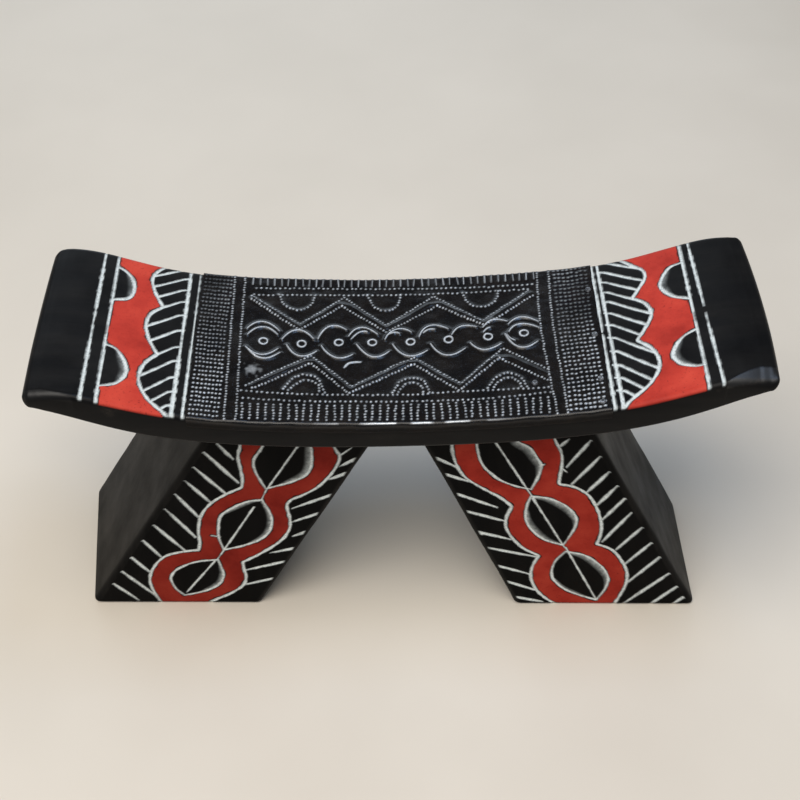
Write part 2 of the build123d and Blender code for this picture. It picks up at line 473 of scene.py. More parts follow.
# Stamped dotted pairs, front then back
ZIGZAGS = (
    ((-76.2, -29.1), (-61.0, -17.2), (-44.8, -6.8), (-24.6, -28.6), (-2.7, -13.1), (6.4, -8.4),
     (29.2, -28.2), (51.0, -4.2), (72.0, -22.0)),
    ((-73.0, -31.2), (-45.2, -12.0), (-26.0, -33.4), (5.9, -12.8), (28.0, -33.0), (48.8, -11.4),
     (71.4, -29.7)),
    ((-77.4, 38.5), (-51.6, 17.0), (-29.0, 38.6), (-7.6, 16.6), (17.5, 38.4), (41.8, 17.2), (67.0, 38.8)),
    ((-77.2, 35.6), (-51.4, 12.6), (-30.4, 31.8), (-7.4, 11.4), (19.2, 31.0), (43.0, 13.4), (68.8, 34.6)),
)
# Dotted half rounds standing on the front rows and hanging from the back rows
HALF_ROUNDS = (
    ((-58.2, -31.0), (-52.6, -22.6), (-46.8, -20.6), (-41.2, -23.6), (-37.6, -33.0)),
    ((-55.4, -32.0), (-50.4, -26.0), (-46.0, -24.4), (-41.0, -27.4), (-40.2, -32.0)),
    ((-4.6, -33.4), (-0.6, -25.4), (5.0, -23.2), (10.8, -25.5), (13.6, -33.4)),
    ((-1.6, -32.6), (1.6, -27.6), (5.2, -26.4), (9.2, -28.6), (10.4, -33.0)),
    ((42.2, -32.4), (46.7, -25.1), (53.0, -22.8), (58.3, -26.4), (61.2, -33.4)),
    ((45.0, -32.4), (48.7, -27.4), (53.2, -26.0), (57.6, -29.8), (58.4, -33.0)),
    ((-62.9, 39.8), (-59.6, 31.4), (-52.6, 27.9), (-46.6, 31.6), (-44.4, 39.8)),
    ((-16.8, 40.0), (-13.8, 31.5), (-8.0, 28.0), (-1.8, 31.0), (0.4, 40.0)),
    ((32.7, 40.0), (35.2, 31.6), (41.6, 27.9), (48.6, 31.0), (51.3, 39.6)),
)


def sheet_ornament(x, y):
    """All stamping of the sheet: dot fields, plain bands, rows, zigzags, half rounds and ringed circles."""
    face = Ornament(x, y)
    rng = np.random.default_rng(7)
    for start, stop in ((SHEET_LEFT + 1.8, -88.6), (80.8, SHEET_RIGHT - 3.2)):
        for row, row_y in enumerate(np.arange(-51.4, 53.5, 3.05)):
            for column_x in np.linspace(start, stop, GRID_COLUMNS):
                worn = 0.5 + 0.5 * noise(column_x, row_y, 17, 21)
                size = 0.44 + 0.16 * worn
                slip = 0.35 * math.sin(0.23 * row)
                dot_x = column_x + slip + rng.normal(0, 0.18)
                dot_y = row_y + rng.normal(0, 0.16) + 0.1 * math.sin(column_x)
                # Besides the random wear, the tops are painted brighter towards the front edge (Y below
                # zero): a painted light gradient
                face.bead(dot_x, dot_y, radius=size, height=0.45, stretch=1.35 if column_x > 0 else 1.1,
                          shine=np.clip(0.3 + 0.8 * worn - 0.012 * row_y, 0.1, 1))
    for line in (((-86.6, 54), (-86.0, 0), (-85.3, -53)), ((-81.3, 54), (-80.9, 0), (-79.5, -53)),
                 ((72.4, 54), (71.0, 20), (72.0, -15), (74.2, -53)),
                 ((78.4, 54), (77.4, 10), (79.2, -53))):
        face.beads(smooth(line), 1.9, rng, radius=0.52, height=0.45)
    for row in (((-78, -33.0), (-52, -34.0), (0, -34.6), (30, -33.8), (71.5, -34.8)),
                ((-77, -38.0), (-46, -39.0), (0, -39.2), (40, -39.7), (71.8, -38.2)),
                ((-75, 44.7), (-40, 45.8), (0, 45.4), (40, 44.2), (69, 43.2)),
                ((-76, 39.2), (-40, 40.5), (0, 40.5), (40, 40.2), (67, 39.7))):
        face.beads(smooth(row), 2.45, rng, radius=0.56, height=0.45)
    for number, column_x in enumerate(np.linspace(-77.0, 70.6, 41)):
        slant = rng.normal(0, 0.35)
        face.beads([(column_x, -41.8), (column_x + slant, -51.5)], 1.93, rng, radius=0.56, height=0.45)
        stroke = [(column_x, 54.2), (column_x + slant, 47.4)]
        face.ridge(stroke, 0.8, 0.4, shine=0.6 if number % 3 == 0 else 0.35)
    for line in ZIGZAGS:
        face.beads(line, 1.9, rng, radius=0.54, height=0.42)
    for outer, inner in ((ZIGZAGS[0], ZIGZAGS[1]), (ZIGZAGS[2], ZIGZAGS[3])):
        inner = even_steps(inner, 2.0)
        outer = even_steps(outer, 2.0)
        nearest = outer[np.argmin(np.hypot(*(inner[:, None] - outer[None]).T), axis=0)]
        face.swell((inner + nearest) / 2, 1.7, 0.75)
    for line in HALF_ROUNDS:
        face.beads(smooth(line), 2.0, rng, radius=0.58, height=0.45)
        face.swell(smooth(line), 1.5, 0.3)
    turn = np.linspace(0, 2 * math.pi, 25)
    for (ring_x, ring_y), *arcs in CIRCLES:
        ring = np.stack([ring_x + 2.1 * np.cos(turn), ring_y + 2.3 * np.sin(turn)], axis=-1)
        face.ridge(ring, 0.42, 0.4, shine=0.95)
        for start, middle, stop in arcs:
            bend = np.array(middle) * 2 - (np.array(start) + np.array(stop)) / 2
            t = np.linspace(0, 1, 17)[:, None]
            curve = (1 - t) ** 2 * start + 2 * t * (1 - t) * bend + t ** 2 * stop
            face.ridge(curve, 0.34, 0.3, shine=0.86)
            face.swell(curve, 1.5, 0.6)
    face.ridge(smooth([(-28.5, -15.0), (-25.7, -11.4), (-20.1, -10.8)]), 0.8, 0.35)
    # Patches of the flat field that are a little more polished
    clouds = 0.28 * np.clip(noise(face.x, face.y, 16, 23) + 0.4 * noise(face.x, face.y, 4, 24), 0, 1)
    face.sheen = np.maximum(face.sheen, clouds)
    rub = np.hypot((face.x + 73.4) / 3.4, (face.y + 17.0) / 4.4) + 0.6 * noise(face.x, face.y, 1.7, 31)
    face.white = np.maximum(face.white, 0.3 * np.clip(1.2 - rub, 0, 1))
    return face


def build_sheet():
    """Stamped sheet over the board, folded down along both long edges.

    lift is the outer face above the board, sink the least depth of the hidden inner face in it, fold
    the depth of the folded edges.
    """
    xs = np.linspace(SHEET_LEFT, SHEET_RIGHT, 470)
    tops = even(seat_top(xs), 9)
    lift, sink, fold, round_r = 0.3, 0.35, 5.8, 2.0
    half = HALF_DEPTH + lift
    arc = np.linspace(0, math.pi / 2, 9)
    top_y = np.linspace(-half + round_r, half - round_r, 252)
    flange = np.linspace(round_r, fold, 4)[1:]
    outer_y = np.r_[np.full(3, -half), (-half + round_r - round_r * np.cos(arc))[:-1], top_y,
                    (half - round_r + round_r * np.sin(arc))[1:], np.full(3, half)]
    outer_d = np.r_[flange[::-1], (round_r - round_r * np.sin(arc))[:-1], np.zeros(top_y.size),
                    (round_r - round_r * np.cos(arc))[1:], flange]
    inner_y = np.linspace(half - lift - sink, -half + lift + sink, 24)
    inner_d = np.r_[fold, np.full(22, lift + sink + round_r * 0.4), fold]
    ys, downs = np.r_[outer_y, inner_y], np.r_[outer_d, inner_d]
    x, y = np.meshgrid(xs, ys, indexing="ij")
    z = tops[:, None] + lift - downs[None, :]
    side = np.clip(np.minimum(xs - SHEET_LEFT, SHEET_RIGHT - xs) / 3.0, 0, 1)[:, None]
    x = x + (1 - side) * 0.45 * noise(y, x * 0, 6.0, 41)
    art = sheet_ornament(x, y)
    shape = x.shape
    outer = (np.arange(ys.size) < outer_y.size)[None, :]
    down = downs[None, :]
    facing = np.clip(1 - down / 2.4, 0, 1) * outer
    buckle = 0.16 * noise(x, y, 9, 51) + 0.07 * noise(x, y, 3.5, 52)
    z = z + (art.height.reshape(shape) + buckle * (0.4 + 0.6 * side)) * facing
    crease = 0.22 * noise(x, down * 2, 5.0, 53) * outer * np.clip(down / 1.5, 0, 1)
    y = y + np.sign(y) * crease
    # Thin silver line along the sheet's fold, on the front edge only: rubbed metal in part and painted
    # highlight in part; rubbed sets where along the fold it shows
    rubbed = np.clip(noise(x, x * 0, 9, 61) * 4 + 1.6, 0, 1) * np.clip(1.4 - abs(x - 4) / 36, 0, 1)
    bent = outer * np.clip(down / 0.12, 0, 1)
    glint = rubbed * np.exp(-((down - 0.32) / 0.2) ** 2) * bent
    edge_sheen = 0.6 * np.exp(-((down - 1.2) / 1.1) ** 2) * bent
    marks = {
        # The worn mark carries the rubbed tops of the stamping and the glint, the painted highlight on the
        # front fold
        "worn": np.maximum(art.white.reshape(shape) * facing, 0.8 * glint * (y < 0)),
        "fold": np.clip((down - 1.6) / 1.2, 0, 1) * np.ones(shape),
        "sheen": np.maximum(art.sheen.reshape(shape) * facing, edge_sheen),
    }
    piece = skin("embossed_sheet", np.stack([x, y, z], axis=-1), marks)
    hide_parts("embossed_panel")
    return piece


# ---------------------------------------------------------------- legs

# Carving of the two fronts, by X and height in mm. outlines: the two edges of the red band. eyes: both
# sides of each eye. scoops: eye number, the edge scraped down to, and the reach of the scraping. spurs,
# spines and rays: single cuts, by their points.
LEG_ART = {
    "left_leg": {
        "outlines": (
            (((-79.6, 142.0), (-80.6, 127.0), (-82.4, 118.8), (-81.6, 104.0), (-82.4, 96.4)),
             ((-82.4, 96.4), (-91.2, 91.0), (-99.8, 84.0), (-106.2, 73.8), (-108.8, 62.5), (-109.3, 52.0),
              (-110.4, 46.0)),
             ((-110.4, 46.0), (-118.5, 44.6), (-129.0, 40.8), (-136.2, 32.4), (-140.2, 22.1),
              (-139.9, 11.5), (-136.0, -2.0))),
            (((-36.0, 142.0), (-33.4, 126.0), (-31.0, 119.5), (-32.2, 113.5), (-36.0, 106.0),
              (-42.4, 97.4), (-49.5, 91.6), (-57.4, 87.0)),
             ((-57.4, 87.0), (-60.2, 82.4), (-59.4, 71.0), (-60.6, 62.6), (-66.1, 53.4), (-76.5, 44.0),
              (-87.6, 36.0)),
             ((-87.6, 36.0), (-87.4, 29.0), (-86.8, 24.0), (-89.0, 16.4), (-96.0, 9.4), (-106.3, 2.8),
              (-113.0, -2.0))),
        ),
        "eyes": (
            (((-66.0, 142.0), (-69.6, 126.0), (-74.6, 116.6), (-74.3, 107.0), (-70.2, 95.2)),
             ((-70.2, 95.2), (-57.0, 100.2), (-49.4, 105.0), (-45.8, 112.0), (-45.0, 125.0),
              (-46.0, 142.0))),
            (((-72.9, 86.6), (-80.0, 85.4), (-88.0, 81.0), (-95.4, 74.4), (-97.6, 66.6), (-98.6, 56.8),
              (-96.8, 46.4)),
             ((-96.8, 46.4), (-85.1, 50.3), (-75.4, 56.1), (-70.2, 64.0), (-69.2, 74.6), (-72.9, 86.6))),
            (((-100.9, 37.9), (-113.1, 35.9), (-124.0, 29.6), (-128.6, 22.1), (-127.0, 13.0),
              (-122.6, 7.0)),
             ((-122.6, 7.0), (-111.0, 10.8), (-102.4, 17.0), (-99.2, 25.7), (-100.9, 37.9))),
        ),
        "scoops": (
            (0,
             ((-66.0, 96.0), (-57.0, 100.2), (-49.4, 105.0), (-45.8, 112.0), (-45.0, 125.0),
              (-46.0, 140.0)),
             4.2),
            (1, ((-85.1, 50.3), (-75.4, 56.1), (-70.2, 64.0), (-69.2, 74.6), (-72.9, 85.0)), 3.0),
            (1, ((-74.0, 86.6), (-80.0, 85.4), (-88.0, 81.0), (-94.0, 75.5)), 2.6),
            (2, ((-116.0, 9.0), (-111.0, 10.8), (-102.4, 17.0), (-99.2, 25.7), (-100.5, 35.0)), 3.0),
        ),
        "spurs": (((-98.0, 57.0), (-102.6, 58.1)), ((-30.5, 120.0), (-24.5, 125.5))),
        "spines": (
            ((-45.0, 138.0), (-70.2, 94.0), (-73.0, 87.0)),
            ((-77.6, 81.0), (-96.8, 46.2), (-101.2, 38.2)), ((-103.0, 36.4), (-121.1, 9.8)),
        ),
        "rays": (
            ((-92.0, 128.6), (-85.0, 117.4)), ((-100.4, 124.0), (-84.0, 99.8)),
            ((-106.8, 112.6), (-90.8, 90.8)), ((-111.4, 101.0), (-99.8, 84.4)),
            ((-118.2, 91.6), (-107.8, 73.2)), ((-124.6, 79.2), (-111.0, 56.6)),
            ((-133.4, 68.0), (-118.2, 45.6)), ((-141.8, 57.2), (-131.8, 40.4)),
            ((-150.2, 43.2), (-139.2, 27.0)), ((-156.6, 30.4), (-139.4, 7.0)),
            ((-164.0, 20.6), (-149.0, 2.2)), ((-31.4, 111.6), (-19.8, 119.6)),
            ((-37.0, 102.4), (-25.2, 108.4)), ((-57.6, 80.0), (-32.2, 93.0)),
            ((-59.0, 69.0), (-40.2, 78.2)), ((-59.0, 57.8), (-47.6, 63.2)),
            ((-72.2, 43.8), (-52.0, 50.2)), ((-86.4, 29.4), (-60.4, 38.2)),
            ((-87.8, 16.8), (-68.4, 23.4)), ((-79.4, 8.2), (-75.8, 11.0)),
        ),
    },
    "right_leg": {
        "outlines": (
            (((25.0, 142.0), (25.6, 126.0), (27.4, 115.0), (31.3, 105.6), (36.4, 99.8), (43.4, 94.0),
              (51.0, 88.2), (57.0, 81.4)),
             ((57.0, 81.4), (54.6, 74.0), (54.0, 67.0), (56.0, 60.2), (60.0, 53.0), (65.0, 47.2),
              (72.6, 41.8)),
             ((72.6, 41.8), (69.8, 33.0), (69.2, 24.0), (72.0, 14.0), (78.0, 5.2), (87.0, -2.0))),
            (((73.0, 142.0), (77.2, 130.0), (80.4, 121.6), (81.2, 113.0), (80.6, 105.0), (80.4, 98.8)),
             ((80.4, 98.8), (88.7, 96.6), (96.4, 90.0), (101.6, 79.0), (104.4, 67.1), (104.5, 57.6),
              (103.2, 51.6)),
             ((103.2, 51.6), (111.8, 46.6), (118.0, 36.8), (121.6, 25.7), (120.6, 13.6), (115.6, -2.0))),
        ),
        "eyes": (
            (((37.0, 142.0), (38.4, 124.0), (41.2, 113.0), (46.2, 106.0), (51.2, 101.0), (58.6, 97.0),
              (66.4, 94.6)),
             ((66.4, 94.6), (69.2, 103.0), (70.8, 111.8), (68.3, 118.2), (64.6, 125.0), (57.0, 131.0),
              (52.0, 142.0))),
            (((66.4, 89.2), (76.4, 87.5), (85.4, 81.6), (90.8, 73.0), (90.6, 65.0), (88.0, 57.0),
              (85.2, 50.6)),
             ((85.2, 50.6), (75.4, 54.9), (68.4, 62.4), (64.7, 71.0), (64.6, 81.0), (66.4, 89.2))),
            (((86.8, 45.4), (97.5, 42.0), (106.4, 33.6), (111.2, 24.0), (110.6, 14.6), (106.4, 4.0)),
             ((106.4, 4.0), (96.0, 8.2), (86.6, 14.8), (80.8, 24.2), (81.4, 36.0), (86.8, 45.4))),
        ),
        "scoops": (
            (0,
             ((69.2, 103.0), (70.8, 111.8), (68.3, 118.2), (64.6, 125.0), (57.0, 131.0), (52.0, 140.0)),
             4.6),
            (1, ((64.6, 81.0), (64.7, 71.0), (68.4, 62.4), (75.4, 54.9), (84.0, 51.2)), 4.0),
            (1, ((68.0, 88.8), (76.4, 87.5), (85.4, 81.6), (90.8, 73.0), (90.6, 65.0)), 4.2),
            (2, ((87.5, 45.0), (97.5, 42.0), (106.4, 33.6), (111.2, 24.0), (110.6, 14.6)), 4.2),
            (2, ((80.8, 24.2), (86.6, 14.8), (96.0, 8.2), (105.0, 4.4)), 2.4),
        ),
        "spurs": (
            ((43.0, 60.3), (39.0, 57.2)), ((81.0, 111.0), (84.0, 107.6)), ((69.6, 112.0), (72.6, 113.6)),
        ),
        "spines": (
            ((41.0, 142.0), (49.0, 126.0), (67.0, 89.4)), ((67.6, 88.0), (85.2, 50.6), (89.4, 42.6)),
            ((86.8, 48.6), (106.2, 4.2)),
        ),
        "rays": (
            ((83.8, 131.6), (79.6, 126.6)), ((95.2, 132.0), (83.6, 111.4)),
            ((101.0, 120.8), (87.1, 98.9)), ((105.9, 109.0), (94.6, 91.9)),
            ((110.8, 98.6), (101.2, 83.2)), ((115.6, 89.4), (104.6, 71.2)),
            ((119.3, 77.0), (105.8, 53.3)), ((126.6, 65.9), (113.7, 46.8)),
            ((133.4, 54.6), (119.5, 35.1)), ((140.3, 44.8), (122.3, 19.6)),
            ((147.6, 31.4), (120.4, -0.6)), ((153.2, 20.2), (134.9, -1.5)),
            ((157.6, 10.6), (148.1, -0.5)), ((13.6, 121.0), (27.8, 111.6)),
            ((18.2, 108.2), (36.0, 100.0)), ((23.0, 94.2), (49.2, 80.8)), ((27.2, 80.4), (54.0, 69.8)),
            ((34.8, 63.2), (57.0, 55.2)), ((39.0, 50.0), (72.0, 40.6)), ((46.0, 35.2), (68.0, 26.2)),
            ((51.0, 22.2), (72.6, 12.2)), ((57.6, 7.4), (76.6, 2.2)),
        ),
    },
}


def leg_ornament(x, z, art):
    """Red band flowing round three black eyes, cut rays out to the edges."""
    face = Ornament(x, z)
    left, right = (lobes(*line) for line in art["outlines"])
    band = face.inside(np.vstack([left, right[::-1]]))
    eyes = [lobes(*eye) for eye in art["eyes"]]
    for eye in eyes:
        band &= ~face.inside(eye)
    face.red = band.astype(float)
    face.height = -0.15 * face.red
    for number, line, reach in art["scoops"]:
        face.scoop(eyes[number], line, reach)
    for line in (left, right):
        face.cut(line, 1.35, 0.6, ends=(1, 1), chatter=0.25)
    for eye in art["eyes"]:
        for side in eye:
            face.cut(smooth(side), 1.25, 0.55, ends=(0.9, 0.6), chatter=0.2)
    for line in art["spines"]:
        face.cut(line, 0.95, 0.45, ends=(1.3, 0.6))
    for line in art["rays"]:
        face.cut(line, 1.75, 0.6, ends=(0.3, 0.5))
    for line in art["spurs"]:
        face.cut(line, 0.7, 0.3, ends=(1, 0.2))
    return face


def leg_loop(corners, counts, radius):
    """Closed loop round four corners, each side evenly divided, each corner softly rounded."""
    loop = []
    for k, count in enumerate(counts):
        a, b, c = corners[k], corners[(k + 1) % 4], corners[(k + 2) % 4]
        along, onward = (b - a) / np.linalg.norm(b - a), (c - b) / np.linalg.norm(c - b)
        t = np.linspace(0, 1, count)[:, None]
        loop.append((a + radius * along) * (1 - t) + (b - radius * along) * t)
        t = np.linspace(0, 1, 7)[1:-1, None]
        start, stop = b - radius * along, b + radius * onward
        loop.append((1 - t) ** 2 * start + 2 * t * (1 - t) * b + t ** 2 * stop)
    return np.vstack(loop)


def build_leg(name):
    """One leg from the floor to the board's underside, its front carved, then turned with the pair."""
    floor_x, cut_x = LEGS[name]
    back = LEG_BACKS[name]
    depth = np.array((LEG_FRONT, LEG_FRONT, back, back))
    counts = (172, 22, 44, 22)
    foot = leg_loop(np.stack([floor_x, depth], axis=-1), counts, LEG_CORNER)
    head = leg_loop(np.stack([cut_x, depth], axis=-1), counts, LEG_CORNER)
    reach = np.full(len(foot), 0.96)
    # Each point of the outline runs up to the underside, whose height depends on where the two meet
    for _ in range(6):
        x = foot[:, 0] + reach * (head[:, 0] - foot[:, 0])
        reach = (seat_under(x) + LEG_SINK) / LEG_CUT
    levels = np.r_[0, 0.5, 1.0, 1.5, 2.0, np.linspace(2.5, LEG_CUT, 290)] / LEG_CUT
    t = levels[:, None] * reach[None, :]
    x = foot[:, 0] + t * (head[:, 0] - foot[:, 0])
    y = foot[:, 1] + t * (head[:, 1] - foot[:, 1])
    z = t * LEG_CUT
    to_floor = np.clip(FOOT_ROUND - z, 0, FOOT_ROUND)
    inset = FOOT_ROUND - np.sqrt(FOOT_ROUND ** 2 - to_floor ** 2)
    middle_x = x.mean(axis=1, keepdims=True)
    x = x + np.sign(middle_x - x) * inset * (abs(middle_x - x) > 30)
    middle_y = (LEG_FRONT + back) / 2
    y = y - (y - middle_y) * inset / (back - middle_y)
    # Unevenness of hand carving: about half a millimetre on the sides, a quarter front and back
    wobble = 0.5 * noise(z + 0.3 * x, y + 0.2 * x, 34, 71) + 0.12 * noise(z, x + y, 9, 72)
    front = np.zeros(len(foot))
    front[:counts[0]] = 1
    lean = np.sign(x - middle_x) * wobble * (1 - front) * np.clip(z / 6, 0, 1)
    art = leg_ornament(x, z, LEG_ART[name])
    shape = x.shape
    side_y = np.sign(y - middle_y) * 0.25 * noise(x, z, 30, 73) * np.clip(z / 6, 0, 1)
    x = x + lean * 0.8
    y = y - 0.8 * art.height.reshape(shape) * front + side_y
    turned_x = x * math.cos(LEG_TURN) - y * math.sin(LEG_TURN)
    turned_y = x * math.sin(LEG_TURN) + y * math.cos(LEG_TURN)
    marks = {
        "white": art.white.reshape(shape) * front,
        "red": art.red.reshape(shape) * front,
        "edge": np.clip(3 - z, 0, 1) * 0.6,
        "dry": (1 - front) * np.ones(shape),
    }
    piece = skin(name + "_carved", np.stack([turned_x, turned_y, z], axis=-1), marks)
    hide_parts(name)
    return piece


# ---------------------------------------------------------------- materials

# Specular levels
BOARD_SHINE = 0.09
LEG_SHINE = 0.03
FACET_SHINE = 0.45
SHEET_SHINE = 0.11
SWELL_SHINE = 0.6

# Stretch of the wood's grain, along the board and up the legs
ALONG_BOARD = (0.12, 1.0, 1.0)
UP_LEG = (1.0, 1.0, 0.12)


def new_material(name):
    """Material with one principled shader."""
    material = bpy.data.materials.new(name)
    material.use_nodes = True
    tree = material.node_tree
    tree.nodes.clear()
    output = tree.nodes.new("ShaderNodeOutputMaterial")
    shader = tree.nodes.new("ShaderNodeBsdfPrincipled")
    tree.links.new(shader.outputs[0], output.inputs[0])
    return material, tree, shader


def grain(tree, stretch, scale, detail=4.0, rough=0.55):
    """Noise value over the object, stretched along an axis."""
    place = tree.nodes.new("ShaderNodeTexCoord")
    mapping = tree.nodes.new("ShaderNodeMapping")
    mapping.inputs["Scale"].default_value = stretch
    tree.links.new(place.outputs["Object"], mapping.inputs["Vector"])
    texture = tree.nodes.new("ShaderNodeTexNoise")
    texture.inputs["Scale"].default_value = scale
    texture.inputs["Detail"].default_value = detail
    texture.inputs["Roughness"].default_value = rough
    tree.links.new(mapping.outputs[0], texture.inputs["Vector"])
    return texture.outputs["Fac"]


def ramp(tree, value, stops):
    """Colour by value."""
    node = tree.nodes.new("ShaderNodeValToRGB")
    while len(node.color_ramp.elements) < len(stops):
        node.color_ramp.elements.new(0.5)
    for element, (place, colour) in zip(node.color_ramp.elements, stops):
        element.position = place
        element.color = (*colour, 1)
    tree.links.new(value, node.inputs[0])
    return node.outputs[0]


def scaled(stops, part):
    """The same stops with their colours made darker or lighter."""
    return [(place, [part * channel for channel in colour]) for place, colour in stops]


def mix(tree, factor, low, high):
    """Colour from low to high by factor."""
    node = tree.nodes.new("ShaderNodeMix")
    node.data_type = "RGBA"
    tree.links.new(factor, node.inputs[0])
    tree.links.new(low, node.inputs[6])
    tree.links.new(high, node.inputs[7])
    return node.outputs[2]


def grey(tree, value, low, high, a, b):
    """Plain number from a to b as value goes from low to high."""
    node = tree.nodes.new("ShaderNodeMapRange")
    node.inputs["From Min"].default_value = low
    node.inputs["From Max"].default_value = high
    node.inputs["To Min"].default_value = a
    node.inputs["To Max"].default_value = b
    tree.links.new(value, node.inputs["Value"])
    return node.outputs[0]


def blend_value(tree, factor, low, high):
    """Number from low to high by factor."""
    node = tree.nodes.new("ShaderNodeMix")
    tree.links.new(factor, node.inputs[0])
    tree.links.new(low, node.inputs[2])
    tree.links.new(high, node.inputs[3])
    return node.outputs[0]


def attribute(tree, name):
    """One of the marks that skin stored on the mesh, 0 where it has none."""
    node = tree.nodes.new("ShaderNodeAttribute")
    node.attribute_name = name
    return node.outputs["Fac"]


def bump(tree, shader, heights):
    """Fine relief: (value, strength, distance in metres), one on top of the other."""
    normal = None
    for value, strength, distance in heights:
        node = tree.nodes.new("ShaderNodeBump")
        node.inputs["Strength"].default_value = strength
        node.inputs["Distance"].default_value = distance
        tree.links.new(value, node.inputs["Height"])
        if normal:
            tree.links.new(normal, node.inputs["Normal"])
        normal = node.outputs[0]
    tree.links.new(normal, shader.inputs["Normal"])


def lacquered_wood(name, stretch, shine, black_part, red_part, white_part):
    """Black lacquer over carved wood, with red and white paint where it is cut and filled.

    Point attributes of the piece place each part: the white and red paint, the worn edge, the dry
    (brushed, unpolished) sides, and the gloss of the cut facets.
    """
    material, tree, shader = new_material(name)
    lines = grain(tree, stretch, 90, 6.0, 0.6)
    cloud = grain(tree, (1, 1, 1), 38, 5.0, 0.6)
    speck = grain(tree, (1, 1, 1), 900, 3.0, 0.7)
    deep = ((0.3, (0.0022, 0.0022, 0.0025)), (0.7, (0.0042, 0.0041, 0.0044)))
    thin = ((0.3, (0.0042, 0.0040, 0.0040)), (0.7, (0.0085, 0.0079, 0.0076)))
    black = mix(tree, grey(tree, lines, 0.4, 0.68, 0, 1),
                ramp(tree, cloud, scaled(deep, black_part)), ramp(tree, cloud, scaled(thin, black_part)))
    worn = mix(tree, grey(tree, cloud, 0.62, 0.72, 0, 1), black,
               ramp(tree, speck, ((0.4, (0.012, 0.011, 0.010)), (0.6, (0.028, 0.023, 0.020)))))
    ground = mix(tree, attribute(tree, "edge"), black, worn)
    ground = mix(tree, attribute(tree, "dry"), ground,
                 ramp(tree, lines, ((0.36, (0.0035, 0.0034, 0.0035)), (0.64, (0.0125, 0.0115, 0.0108)))))
    reds = ((0.28, (0.31, 0.021, 0.014)), (0.5, (0.48, 0.041, 0.026)), (0.72, (0.60, 0.066, 0.040)))
    red = ramp(tree, cloud, scaled(reds, red_part))
    red = mix(tree, grey(tree, speck, 0.60, 0.70, 0, 1), red,
              ramp(tree, lines, ((0.4, (0.20, 0.018, 0.014)), (0.6, (0.30, 0.028, 0.020)))))
    whites = ((0.33, (0.40, 0.44, 0.44)), (0.46, (0.60, 0.65, 0.65)), (0.62, (0.70, 0.745, 0.745)))
    white = ramp(tree, speck, scaled(whites, white_part))
    colour = mix(tree, attribute(tree, "white"), mix(tree, attribute(tree, "red"), ground, red), white)
    tree.links.new(colour, shader.inputs["Base Color"])
    dull = grey(tree, cloud, 0.3, 0.7, 0.30, 0.44)
    painted = blend_value(tree, attribute(tree, "red"), dull, grey(tree, speck, 0.3, 0.7, 0.42, 0.58))
    chalky = blend_value(tree, attribute(tree, "white"), painted, grey(tree, speck, 0.3, 0.7, 0.62, 0.8))
    bare = blend_value(tree, attribute(tree, "gloss"), chalky, grey(tree, cloud, 0.3, 0.7, 0.36, 0.46))
    shines = grey(tree, attribute(tree, "gloss"), 0, 1, shine, FACET_SHINE)
    tree.links.new(shines, shader.inputs["Specular IOR Level"])
    tree.links.new(blend_value(tree, attribute(tree, "white"), bare, chalky), shader.inputs["Roughness"])
    bump(tree, shader, ((lines, 0.25, 0.00035), (speck, 0.18, 0.00012)))
    return material


def stamped_metal():
    """Blackened soft metal, rubbed to silver where worn, dull on the fold, polished where it has sheen. The
    worn mark also carries painted highlight: the glint on the front fold and the brighter dots towards the
    front edge.
    """
    material, tree, shader = new_material("stamped_metal")
    cloud = grain(tree, (1, 1, 1), 70, 6.0, 0.65)
    speck = grain(tree, (1, 1, 1), 1300, 3.0, 0.7)
    browns = ((0.3, (0.003, 0.003, 0.0036)), (0.52, (0.006, 0.0048, 0.0044)), (0.72, (0.011, 0.0085, 0.007)))
    dark = mix(tree, grey(tree, speck, 0.58, 0.68, 0, 1),
               ramp(tree, cloud, browns),
               ramp(tree, cloud, ((0.3, (0.012, 0.016, 0.024)), (0.7, (0.022, 0.026, 0.034)))))
    silver = ramp(tree, speck, ((0.35, (0.50, 0.55, 0.60)), (0.6, (0.84, 0.88, 0.92))))
    tree.links.new(mix(tree, attribute(tree, "worn"), dark, silver), shader.inputs["Base Color"])
    tree.links.new(grey(tree, attribute(tree, "worn"), 0, 1, 0.04, 0.3), shader.inputs["Metallic"])
    shine = grey(tree, attribute(tree, "sheen"), 0, 1, SHEET_SHINE, SWELL_SHINE)
    tree.links.new(shine, shader.inputs["Specular IOR Level"])
    polish = grey(tree, cloud, 0.3, 0.7, 0.18, 0.30)
    dulled = grey(tree, cloud, 0.3, 0.7, 0.55, 0.70)
    tree.links.new(blend_value(tree, attribute(tree, "fold"), polish, dulled), shader.inputs["Roughness"])
    bump(tree, shader, ((cloud, 0.5, 0.0006), (speck, 0.15, 0.0001)))
    return material


def tack_metal():
    """Small dull steel heads, mottled dark and light."""
    material, tree, shader = new_material("tack_metal")
    cloud = grain(tree, (1, 1, 1), 700, 4.0, 0.6)
    colour = ramp(tree, cloud, ((0.35, (0.10, 0.105, 0.115)), (0.6, (0.50, 0.52, 0.55))))
    tree.links.new(colour, shader.inputs["Base Color"])
    shader.inputs["Metallic"].default_value = 0.9
    tree.links.new(grey(tree, cloud, 0.3, 0.7, 0.28, 0.5), shader.inputs["Roughness"])
    bump(tree, shader, ((cloud, 0.3, 0.0001),))
    return material


def paper_floor():
    """Pale matt surface with the faintest mottling."""
    material, tree, shader = new_material("paper_floor")
    cloud = grain(tree, (1, 1, 1), 6, 3.0, 0.5)
    colour = ramp(tree, cloud, ((0.35, (0.66, 0.60, 0.515)), (0.65, (0.70, 0.64, 0.555))))
    tree.links.new(colour, shader.inputs["Base Color"])
    tree.links.new(grey(tree, cloud, 0.3, 0.7, 0.55, 0.7), shader.inputs["Roughness"])
    return material


# ---------------------------------------------------------------- put together

seat = build_seat()
sheet = build_sheet()
left_leg = build_leg("left_leg")
right_leg = build_leg("right_leg")
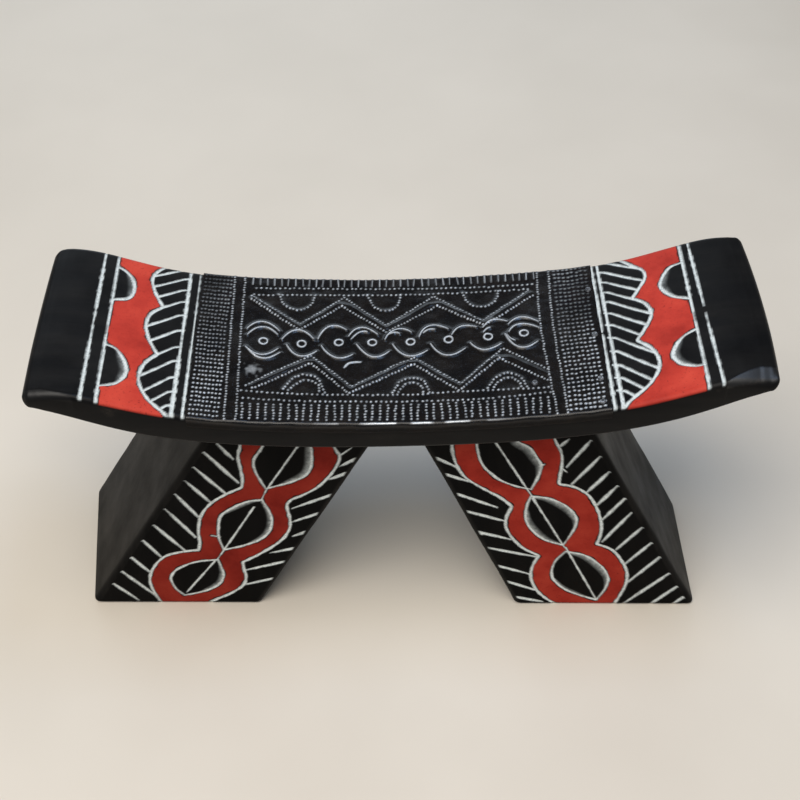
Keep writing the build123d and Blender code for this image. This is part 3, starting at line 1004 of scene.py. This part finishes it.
# The paint parts are matched to the photo under these lights, so they differ from piece to piece: they are
# lit and shaded copies of one paint, with painted shade in the left leg's darker red, painted light in the
# legs' lighter whites, and painted light and shade in the board's lighter black against the legs' darker
# black
board_wood = lacquered_wood("lacquer_board", ALONG_BOARD, BOARD_SHINE,
                            black_part=1.25, red_part=0.96, white_part=0.95)
seat.data.materials.append(board_wood)
sheet.data.materials.append(stamped_metal())
for leg, leg_name, leg_red_light_and_shade in ((left_leg, "lacquer_left_leg_shaded", 0.55), (right_leg, "lacquer_right_leg_lit", 0.75)):
    leg_wood = lacquered_wood(leg_name, UP_LEG, LEG_SHINE, black_part=0.7, red_part=leg_red_light_and_shade, white_part=1.2)
    leg.data.materials.append(leg_wood)
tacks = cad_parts["panel_tacks"]
if not tacks.material_slots:
    tacks.data.materials.append(None)
for slot in tacks.material_slots:
    slot.link = "OBJECT"
    slot.material = tack_metal()

floor_mesh = bpy.data.meshes.new("floor")
floor_mesh.from_pydata([(-4, -4, 0), (4, -4, 0), (4, 4, 0), (-4, 4, 0)], [], [(0, 1, 2, 3)])
floor = bpy.data.objects.new("floor", floor_mesh)
bpy.context.scene.collection.objects.link(floor)
floor_mesh.materials.append(paper_floor())


def area_light(name, place, target, size, watts, colour):
    """Rectangular light at place, facing target."""
    data = bpy.data.lights.new(name, "AREA")
    data.shape = "RECTANGLE"
    data.size, data.size_y = size
    data.energy = watts
    data.color = colour
    lamp = bpy.data.objects.new(name, data)
    lamp.location = place
    lamp.rotation_euler = (Vector(target) - Vector(place)).to_track_quat("-Z", "Y").to_euler()
    bpy.context.scene.collection.objects.link(lamp)


centre = (0, 0, 0.09)
area_light("overhead", (-0.25, -0.50, 1.5), centre, (1.2, 1.0), 24, (1.0, 0.95, 0.88))
area_light("rear", (-0.2, 1.3, 0.6), centre, (1.2, 0.6), 4.2, (0.76, 0.88, 1.0))
area_light("sky", (0.30, 0.08, 1.5), centre, (0.5, 0.4), 4.5, (0.42, 0.64, 1.0))

world = bpy.data.worlds.new("studio")
world.use_nodes = True
world.node_tree.nodes["Background"].inputs["Color"].default_value = (0.93, 0.96, 1.0, 1)
world.node_tree.nodes["Background"].inputs["Strength"].default_value = 0.22
bpy.context.scene.world = world

# Camera: above and in front of the middle, tilted down and very slightly rolled
pitch, yaw, roll = math.radians(44.27), math.radians(-0.33), math.radians(-1.51)
ahead = Vector((math.sin(yaw) * math.cos(pitch), math.cos(yaw) * math.cos(pitch), -math.sin(pitch)))
right = Vector((math.cos(yaw), -math.sin(yaw), 0))
up = right.cross(ahead)
right, up = math.cos(roll) * right + math.sin(roll) * up, math.cos(roll) * up - math.sin(roll) * right
camera_data = bpy.data.cameras.new("camera")
camera_data.lens = 67.5
camera_data.sensor_width = 36
camera = bpy.data.objects.new("camera", camera_data)
bpy.context.scene.collection.objects.link(camera)
camera.matrix_world = Matrix((
    (right.x, up.x, -ahead.x, 0.0020),
    (right.y, up.y, -ahead.y, -0.5602),
    (right.z, up.z, -ahead.z, 0.6667),
    (0, 0, 0, 1),
))
bpy.context.scene.camera = camera
bpy.context.scene.view_settings.view_transform = "Standard"
